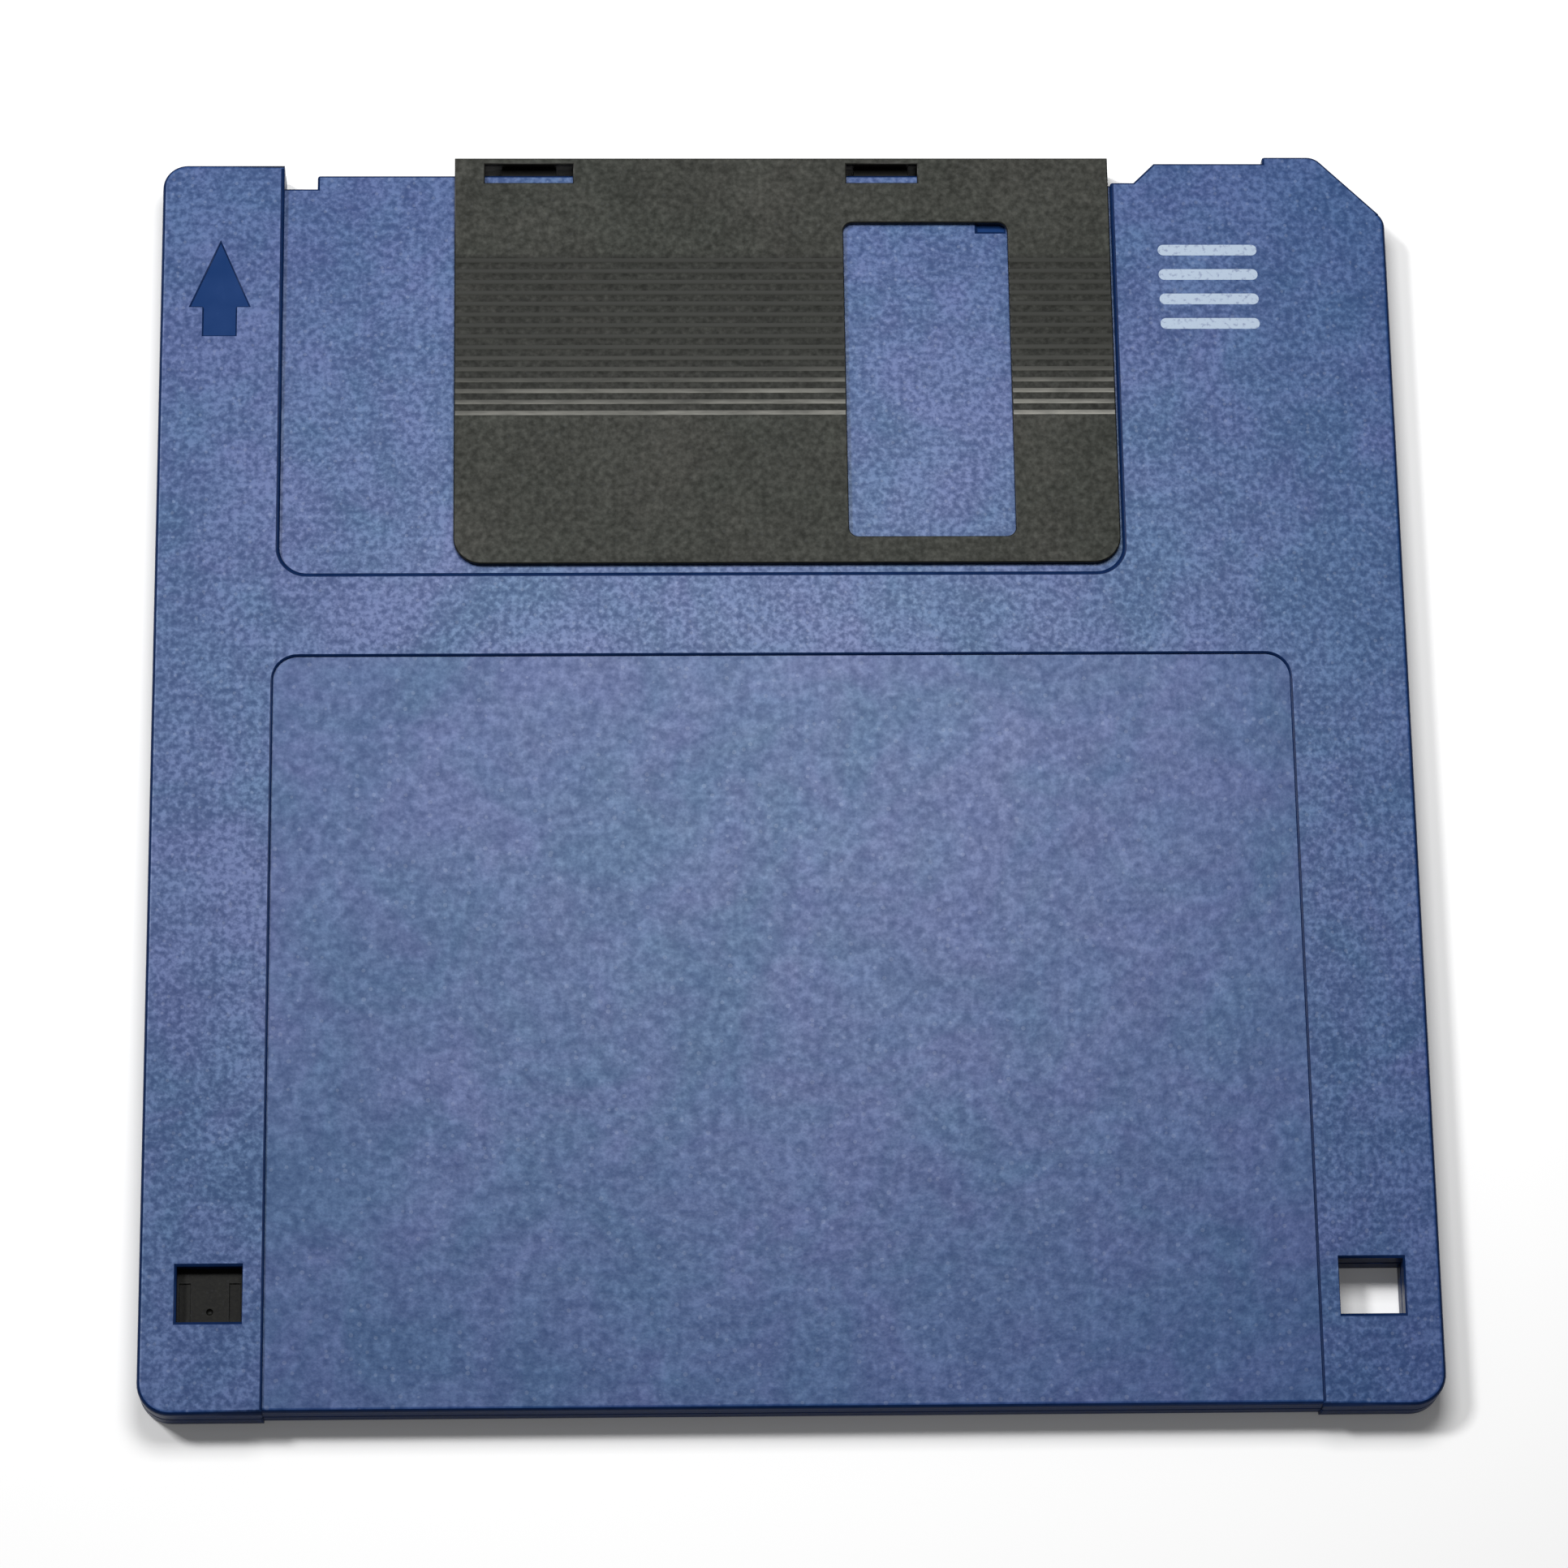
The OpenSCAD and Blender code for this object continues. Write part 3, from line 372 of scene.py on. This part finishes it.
# Magnetic disk
# Polyester film with a burnished dark brown oxide coating on both faces, punched out in the middle.
# The polishing leaves faint rings round the hub.
coating, tree = new_finish("disk_coating")
spot = put(tree, "TexCoord").outputs["Object"]
spot = put(tree, "Mapping", {"Vector": spot, "Location": (0.0, -hub_center[1], 0.0), "Scale": (1.0, 1.0, 0.0)})
radius = put(tree, "VectorMath", {0: spot.outputs["Vector"]}, operation="LENGTH").outputs["Value"]
rings = put(tree, "TexNoise", {"W": radius, "Scale": 2600.0, "Detail": 4.0}, noise_dimensions="1D").outputs["Fac"]
smear = put(tree, "TexNoise", {"Vector": spot.outputs["Vector"], "Scale": 90.0, "Detail": 3.0}).outputs["Fac"]
tone = put(tree, "Mix", {0: rings, 6: (0.018, 0.013, 0.011, 1.0), 7: (0.042, 0.03, 0.024, 1.0)}, data_type="RGBA")
rough = put(tree, "MapRange", {"Value": smear, "From Min": 0.3, "From Max": 0.7, "To Min": 0.34, "To Max": 0.46})
relief = put(tree, "Bump", {"Height": rings, "Strength": 0.08, "Distance": 0.01 * MM})
show(tree, {"Base Color": tone.outputs[2], "Roughness": rough.outputs[0], "Normal": relief.outputs["Normal"],
            "Specular IOR Level": 0.35})
refinish("magnetic_disk", coating)

# Adhesive ring
# A thin double sided ring that bonds the film disk to the flange of the hub.
refinish("hub_adhesive_ring", film)

# Hub
# A cup pressed from thin stainless sheet, with a square hole for the spindle and a slot for the drive pin.
# The rolled sheet has fine lines, and the pressing has rubbed its edges bright.
hub_steel, tree = new_finish("hub_steel")
spot = put(tree, "TexCoord").outputs["Object"]
stretched = put(tree, "Mapping", {"Vector": spot, "Scale": (1.0, 30.0, 1.0)}).outputs["Vector"]
lines = put(tree, "TexNoise", {"Vector": stretched, "Scale": 260.0, "Detail": 5.0}).outputs["Fac"]
stains = put(tree, "TexNoise", {"Vector": spot, "Scale": 240.0, "Detail": 4.0}).outputs["Fac"]
tone = put(tree, "Mix", {0: stains, 6: (0.5, 0.5, 0.5, 1.0), 7: (0.68, 0.68, 0.67, 1.0)}, data_type="RGBA")
rough = put(tree, "MapRange", {"Value": lines, "From Min": 0.3, "From Max": 0.7, "To Min": 0.22, "To Max": 0.4})
relief = put(tree, "Bump", {"Height": lines, "Strength": 0.15, "Distance": 0.02 * MM})
show(tree, {"Base Color": tone.outputs[2], "Metallic": 1.0, "Roughness": rough.outputs[0],
            "Normal": relief.outputs["Normal"]})

rubbed_steel, tree = new_finish("hub_steel_rubbed")
spot = put(tree, "TexCoord").outputs["Object"]
rubs = put(tree, "TexNoise", {"Vector": spot, "Scale": 900.0, "Detail": 3.0}).outputs["Fac"]
tone = put(tree, "Mix", {0: rubs, 6: (0.6, 0.6, 0.59, 1.0), 7: (0.8, 0.8, 0.79, 1.0)}, data_type="RGBA")
rough = put(tree, "MapRange", {"Value": rubs, "From Min": 0.3, "From Max": 0.7, "To Min": 0.12, "To Max": 0.28})
show(tree, {"Base Color": tone.outputs[2], "Metallic": 1.0, "Roughness": rough.outputs[0]})

hub = moulded_copy("hub", "hub_pressed", "disk", 0.08 * MM)
hub.data.materials.append(hub_steel)
hub.data.materials.append(rubbed_steel)

# Centre wear disc
# A small disc of slippery white plastic, glued to the front shell where the hub would rub.
slippery, tree = new_finish("wear_disc_plastic")
spot = put(tree, "TexCoord").outputs["Object"]
scuffs = put(tree, "TexNoise", {"Vector": spot, "Scale": 1500.0, "Detail": 3.0}).outputs["Fac"]
tone = put(tree, "Mix", {0: scuffs, 6: (0.76, 0.75, 0.71, 1.0), 7: (0.9, 0.89, 0.86, 1.0)}, data_type="RGBA")
rough = put(tree, "MapRange", {"Value": scuffs, "From Min": 0.3, "From Max": 0.7, "To Min": 0.3, "To Max": 0.45})
show(tree, {"Base Color": tone.outputs[2], "Roughness": rough.outputs[0]})
refinish("center_wear_disc", slippery)

# Front liner
# The same fleece ring as the back liner, welded to the inside of the front shell.
fleece_ring("front_liner", "front_liner_fleece")

# Shutter spring
# A torsion spring of drawn steel wire, coiled in the corner under the arrow. One leg leans on the side of
# the case, and the other ends in the shutter's hook and pushes it shut.
wire, tree = new_finish("spring_steel")
spot = put(tree, "TexCoord").outputs["Object"]
draw = put(tree, "TexNoise", {"Vector": spot, "Scale": 1800.0, "Detail": 3.0}).outputs["Fac"]
tone = put(tree, "Mix", {0: draw, 6: (0.45, 0.45, 0.46, 1.0), 7: (0.66, 0.66, 0.67, 1.0)}, data_type="RGBA")
rough = put(tree, "MapRange", {"Value": draw, "From Min": 0.3, "From Max": 0.7, "To Min": 0.2, "To Max": 0.35})
show(tree, {"Base Color": tone.outputs[2], "Metallic": 1.0, "Roughness": rough.outputs[0]})

bm = bmesh.new()
bm.from_mesh(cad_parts["shutter_spring"].data)
bmesh.ops.remove_doubles(bm, verts=bm.verts, dist=0.001 * MM)
for f in bm.faces:
    f.smooth = True
spring_mesh = bpy.data.meshes.new("shutter_spring_wire")
bm.to_mesh(spring_mesh)
bm.free()
spring_mesh.materials.append(wire)
spring = bpy.data.objects.new("shutter_spring_wire", spring_mesh)
scene.collection.objects.link(spring)
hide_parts("shutter_spring")
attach(spring, "case")
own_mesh(spring)

# Write-protect slider
# A small black moulded tile that slides under the left hole. Its base runs between the shells, and its
# knob sticks into a slot in the back shell, with a notch for a pen tip.
black, tree = new_finish("slider_plastic")
skin = place_group(tree, grain, {"Deep": (0.001, 0.001, 0.001, 1.0), "Pale": (0.007, 0.007, 0.005, 1.0),
                                 "Grains per metre": 3600.0, "Contrast": 1.2, "Specks": 0.01})
relief = put(tree, "Bump", {"Height": skin.outputs["Height"], "Strength": 0.25, "Distance": 0.04 * MM})
show(tree, {"Base Color": skin.outputs["Color"], "Roughness": 0.5, "Normal": relief.outputs["Normal"],
            "Specular IOR Level": 0.15})

black_worn, tree = new_finish("slider_plastic_worn")
skin = place_group(tree, grain, {"Deep": (0.005, 0.005, 0.005, 1.0), "Pale": (0.022, 0.022, 0.021, 1.0),
                                 "Grains per metre": 3600.0, "Contrast": 1.2, "Specks": 0.02})
show(tree, {"Base Color": skin.outputs["Color"], "Roughness": 0.35, "Specular IOR Level": 0.25})

slider = moulded_copy("write_protect_slider", "write_protect_slider_moulded", "protect_slider",
                      0.07 * MM)
slider.data.materials.append(black)
slider.data.materials.append(black_worn)

# Front shell
# The half of the case on the label side, in the same blue ABS as the back shell. The sunken arrow and
# the steps round the label and the shutter are smooth, the steps with painted shade, and the faces between them are
# grained.
polished, tree = new_finish("case_plastic_polished")
spot = put(tree, "TexCoord").outputs["Object"]
waves = put(tree, "TexNoise", {"Vector": spot, "Scale": 500.0, "Detail": 2.0}).outputs["Fac"]
tone = put(tree, "Mix", {0: waves, 6: (0.006, 0.027, 0.105, 1.0), 7: (0.01, 0.038, 0.14, 1.0)}, data_type="RGBA")
rough = put(tree, "MapRange", {"Value": waves, "From Min": 0.3, "From Max": 0.7, "To Min": 0.2, "To Max": 0.28})
show(tree, {"Base Color": tone.outputs[2], "Roughness": rough.outputs[0], "Specular IOR Level": 0.06})

front_shell = moulded_copy("front_shell", "front_shell_moulded", "case", 0.18 * MM,
                           recess=(-37 * MM, 25.2 * MM, 14 * MM, 0.4 * MM))
for finish in (case_plastic, case_smooth_painted_shade, polished):
    front_shell.data.materials.append(finish)
# The sunken arrow's floor is polished for real. The floor of a small pocket near the shutter edge takes the same
# dark polished finish as painted shade.
arrow_and_painted_shade_floors = [((-42.9, 32.7, 3.1), (-38.4, 40.2, 3.25), 2), ((14.8, 41.2, 2.4), (17.0, 43.4, 2.6), 2)]
for low, high, finish_number in arrow_and_painted_shade_floors:
    for face in front_shell.data.polygons:
        if all(low[i] * MM < face.center[i] < high[i] * MM for i in range(3)):
            face.material_index = finish_number

# Printed mark
# Four plain bars in pale ink, pad printed beside the cut corner. The ink is thin, and slightly broken
# where it crosses the grain.
ink, tree = new_finish("print_ink")
spot = put(tree, "TexCoord").outputs["Object"]
cover = put(tree, "TexNoise", {"Vector": spot, "Scale": 3000.0, "Detail": 3.0}).outputs["Fac"]
tone = put(tree, "ValToRGB", {"Fac": cover})
tone.color_ramp.elements[0].position = 0.32
tone.color_ramp.elements[0].color = (0.2, 0.25, 0.37, 1.0)
tone.color_ramp.elements[1].position = 0.46
tone.color_ramp.elements[1].color = (0.34, 0.42, 0.53, 1.0)
relief = put(tree, "Bump", {"Height": cover, "Strength": 0.3, "Distance": 0.03 * MM})
show(tree, {"Base Color": tone.outputs["Color"], "Roughness": 0.55, "Normal": relief.outputs["Normal"]})

mark_left = 28.1 * MM
mark_right = 35.4 * MM
mark_low = 33.2 * MM
bar_width = 0.85 * MM
bar_pitch = 1.95 * MM
ink_top = 3.304 * MM
bm = bmesh.new()
for row in range(4):
    bar = bmesh.ops.create_cube(bm, size=1)["verts"]
    middle = Vector(((mark_left + mark_right) / 2, mark_low + bar_width / 2 + row * bar_pitch, ink_top - 0.01 * MM))
    bmesh.ops.scale(bm, verts=bar, vec=(mark_right - mark_left, bar_width, 0.02 * MM))
    bmesh.ops.translate(bm, verts=bar, vec=middle)
upright = [e for e in bm.edges if abs(e.verts[0].co.z - e.verts[1].co.z) > 0.01 * MM]
bmesh.ops.bevel(bm, geom=upright, offset=0.41 * MM, affect="EDGES", segments=6, profile=0.5, material=-1)
mark_mesh = bpy.data.meshes.new("printed_mark")
bm.to_mesh(mark_mesh)
bm.free()
mark_mesh.materials.append(ink)
mark = bpy.data.objects.new("printed_mark", mark_mesh)
scene.collection.objects.link(mark)
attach(mark, "case")

# Shutter
# A U moulded in charcoal acetal, which slides along the shutter edge. Fine lines across its label side
# give a grip, and the lowest of them carry a painted highlight, a pale glint painted on their slopes.
charcoal, tree = new_finish("shutter_plastic")
skin = place_group(tree, grain, {"Deep": (0.009, 0.010, 0.007, 1.0), "Pale": (0.040, 0.042, 0.034, 1.0),
                                 "Grains per metre": 2200.0, "Contrast": 1.0, "Specks": 0.01, "Lean": 0.2})
relief = put(tree, "Bump", {"Height": skin.outputs["Height"], "Strength": 0.3, "Distance": 0.04 * MM})
rough = put(tree, "Math", {0: skin.outputs["Roughness"], 1: 0.25}, operation="ADD")
dull = put(tree, "Math", {0: skin.outputs["Glint"], 1: 0.6}, operation="MULTIPLY")
place = put(tree, "SeparateXYZ", {0: put(tree, "TexCoord").outputs["Object"]})
above = put(tree, "MapRange", {"Value": place.outputs["Y"], "From Min": 26.3 * MM, "From Max": 26.7 * MM})
below = put(tree, "MapRange", {"Value": place.outputs["Y"], "From Min": 39.3 * MM, "From Max": 38.9 * MM})
label_side = put(tree, "MapRange", {"Value": place.outputs["Z"], "From Min": 1.6 * MM, "From Max": 1.7 * MM})
band = put(tree, "Math", {0: above.outputs[0], 1: below.outputs[0]}, operation="MULTIPLY").outputs[0]
band = put(tree, "Math", {0: band, 1: label_side.outputs[0]}, operation="MULTIPLY").outputs[0]
tone = put(tree, "Mix", {0: band, 6: (1.0, 1.0, 1.0, 1.0), 7: (0.52, 0.52, 0.5, 1.0)}, data_type="RGBA")
tone = put(tree, "Mix", {0: 1.0, 6: skin.outputs["Color"], 7: tone.outputs[2]}, data_type="RGBA",
           blend_type="MULTIPLY")
show(tree, {"Base Color": tone.outputs[2], "Roughness": rough.outputs[0],
            "Normal": relief.outputs["Normal"], "Specular IOR Level": dull.outputs[0]})

# Smooth walls and rounded edges of the shutter. The smooth finish is real, and the tone darker than the grained
# faces is painted shade, for the dark lines along the window and the lower edge.
charcoal_smooth_painted_shade, tree = new_finish("shutter_plastic_smooth_painted_shade")
skin = place_group(tree, grain, {"Deep": (0.005, 0.005, 0.004, 1.0), "Pale": (0.019, 0.019, 0.015, 1.0),
                                 "Grains per metre": 2600.0, "Contrast": 0.8, "Specks": 0.0})
show(tree, {"Base Color": skin.outputs["Color"], "Roughness": 0.4, "Specular IOR Level": 0.2})

# Painted shade: a darker copy of the shutter plastic for the upward faces inside the U, the hook tops seen through
# the slots.
charcoal_painted_shade, tree = new_finish("shutter_plastic_painted_shade")
skin = place_group(tree, grain, {"Deep": (0.002, 0.002, 0.002, 1.0), "Pale": (0.008, 0.008, 0.007, 1.0),
                                 "Grains per metre": 2600.0, "Contrast": 0.8, "Specks": 0.0})
show(tree, {"Base Color": skin.outputs["Color"], "Roughness": 0.5, "Specular IOR Level": 0.1})

# Painted highlight: the pale glint of the lamps behind on the slopes of the lowest grip grooves, painted into their
# colour. It fades up the shutter, breaks into patches and grows toward +X.
grip_painted_highlight, tree = new_finish("shutter_grip_painted_highlight")
spot = put(tree, "TexCoord").outputs["Object"]
place = put(tree, "SeparateXYZ", {0: spot})
up = put(tree, "MapRange", {"Value": place.outputs["Y"], "From Min": 26.4 * MM, "From Max": 32.4 * MM}).outputs[0]
brighter_to_right = put(tree, "MapRange", {"Value": place.outputs["X"], "From Min": -18 * MM, "From Max": 18 * MM,
                                "To Min": 0.6}).outputs[0]
fade = put(tree, "ValToRGB", {"Fac": up})
for place, value in ((0.0, 0.8), (0.1, 0.76), (0.2, 0.5), (0.36, 0.5), (0.5, 0.2), (0.64, 0.1), (0.8, 0.05)):
    stop = fade.color_ramp.elements.new(place)
    stop.color = (value, value, value, 1.0)
fade.color_ramp.elements[-1].color = (0.015, 0.015, 0.015, 1.0)
stretched = put(tree, "Mapping", {"Vector": spot, "Scale": (0.25, 1.5, 1.0)}).outputs["Vector"]
patches = put(tree, "TexNoise", {"Vector": stretched, "Scale": 1100.0, "Detail": 4.0, "Roughness": 0.6})
patches = put(tree, "MapRange", {"Value": patches.outputs["Fac"], "From Min": 0.3, "From Max": 0.7,
                                 "To Min": 0.4, "To Max": 1.45}).outputs[0]
# Slopes that face +Y, toward the lamps, get more of the painted highlight than slopes facing the front.
facing = put(tree, "SeparateXYZ", {0: put(tree, "TexCoord").outputs["Normal"]}).outputs["Y"]
facing = put(tree, "MapRange", {"Value": facing, "From Min": -0.5, "From Max": 0.4, "To Min": 0.2}).outputs[0]
grip_glint = put(tree, "Math", {0: fade.outputs["Color"], 1: patches}, operation="MULTIPLY").outputs[0]
grip_glint = put(tree, "Math", {0: grip_glint, 1: brighter_to_right}, operation="MULTIPLY").outputs[0]
grip_glint = put(tree, "Math", {0: grip_glint, 1: facing}, operation="MULTIPLY", use_clamp=True).outputs[0]
tone = put(tree, "Mix", {0: grip_glint, 6: (0.017, 0.018, 0.015, 1.0), 7: (0.42, 0.41, 0.37, 1.0)}, data_type="RGBA")
show(tree, {"Base Color": tone.outputs[2], "Roughness": 0.55, "Specular IOR Level": 0.2})

shutter = moulded_copy("shutter", "shutter_moulded", "shutter", 0.08 * MM,
                       inside=(0.4 * MM, 2.9 * MM))
for finish in (charcoal, charcoal_smooth_painted_shade, grip_painted_highlight, charcoal_painted_shade):
    shutter.data.materials.append(finish)
# Both slopes of the grip grooves take the painted highlight.
for face in shutter.data.polygons:
    if 0.3 < face.normal.z < 0.9 and abs(face.normal.y) > 0.3 and face.center.y < 40 * MM:
        face.material_index = 2
    # Upward faces inside the U take the painted shade.
    elif face.normal.z > 0.9 and 0.5 * MM < face.center.z < 2.8 * MM:
        face.material_index = 3
